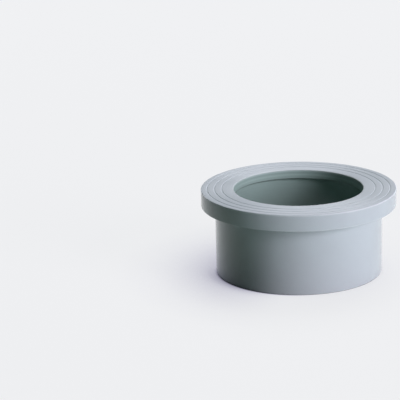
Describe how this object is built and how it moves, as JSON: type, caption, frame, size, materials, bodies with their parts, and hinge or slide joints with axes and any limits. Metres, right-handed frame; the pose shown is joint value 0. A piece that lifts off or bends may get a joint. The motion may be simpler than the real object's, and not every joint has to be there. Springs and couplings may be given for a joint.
{
  "type": "lap joint stub end",
  "caption": "Grey plastic stub end: a plain pipe socket with a collar whose grooved face seals on a gasket and whose back seats a loose backing ring.",
  "frame": {"origin": "on the axis, in the plane of the socket's mouth that the part stands on", "axes": "+Z along the axis, from the socket's mouth to the jointing face; X and Y are alike, because the part is turned"},
  "size_m": [0.106, 0.106, 0.0462],
  "materials": {
    "grey_plastic": "moulded gloss on the collar's rim, hub and socket; turned satin on the jointing face"
  },
  "bodies": {
    "root": {"stub_end": "grey_plastic"}
  },
  "joints": []
}
